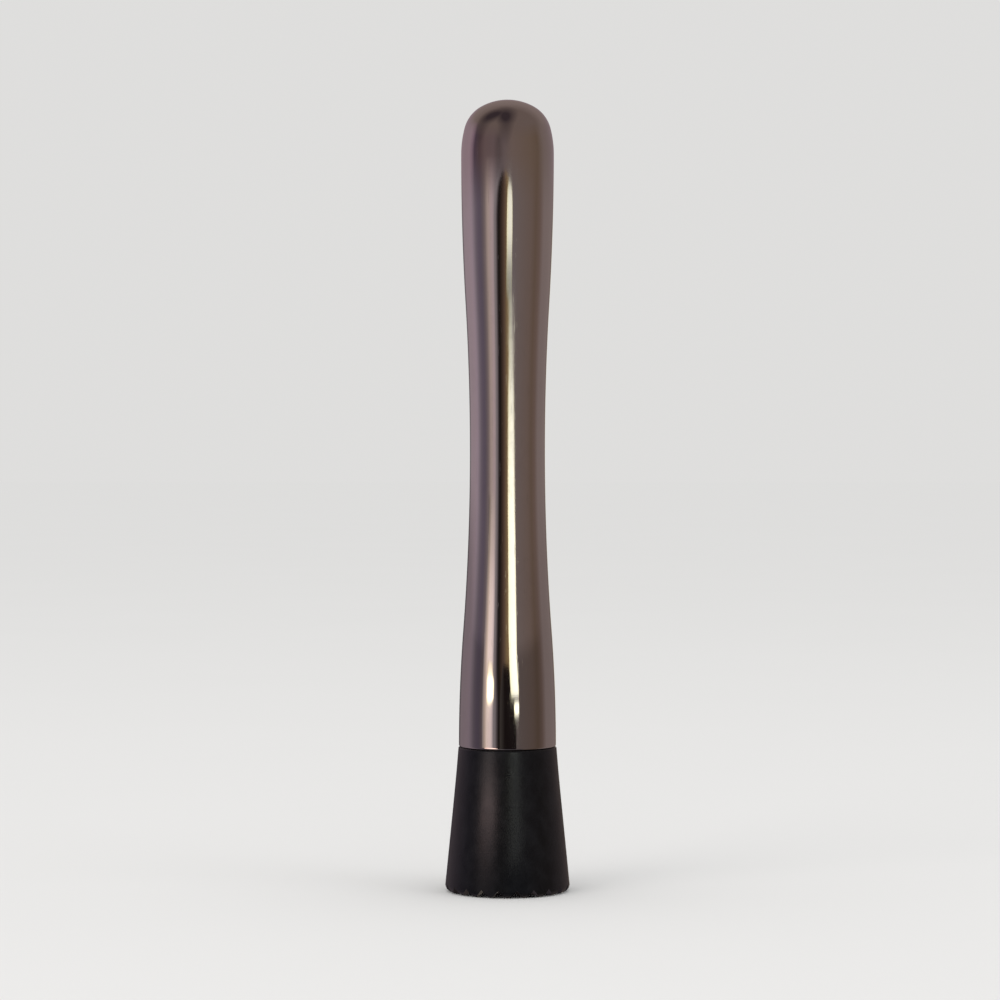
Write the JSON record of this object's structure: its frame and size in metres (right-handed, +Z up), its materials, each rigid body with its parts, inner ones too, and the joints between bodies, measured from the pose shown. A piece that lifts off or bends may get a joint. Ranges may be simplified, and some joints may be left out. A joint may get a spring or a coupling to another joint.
{
  "type": "bar muddler",
  "caption": "Bar muddler: hollow polished steel hourglass handle with a domed top, screwed onto a flared black plastic head with a toothed face.",
  "frame": {"origin": "on the muddler's axis, in the plane of the tooth tips it stands on", "axes": "+Z up the axis from the toothed face to the dome; +X through a notch between two rim teeth; +Y completes the right-handed frame"},
  "size_m": [0.032, 0.032, 0.203],
  "materials": {
    "handle_shell": "polished",
    "mouth_plug": "satin",
    "threaded_stud": "satin",
    "head_insert": "satin",
    "muddling_head": "matte",
    "seal_ring": "satin"
  },
  "bodies": {
    "head": {"muddling_head": "muddling_head", "head_insert": "head_insert"},
    "seal": {"seal_ring": "seal_ring"},
    "handle": {"handle_shell": "handle_shell", "mouth_plug": "mouth_plug", "threaded_stud": "threaded_stud"}
  },
  "joints": [
    {"name": "handle_unscrew", "type": "hinge", "parent": "head", "child": "seal", "pos_m": [0, 0, 0.0393], "axis": [0, 0, 1], "range_deg": [0, 3960]},
    {"name": "handle_lift", "type": "slide", "parent": "seal", "child": "handle", "axis": [0, 0, 1], "range_m": [0, 0.01375]}
  ],
  "couplings": [
    {"joint": "handle_unscrew", "follows": "handle_lift", "rad_per_m": 5026.5}
  ]
}
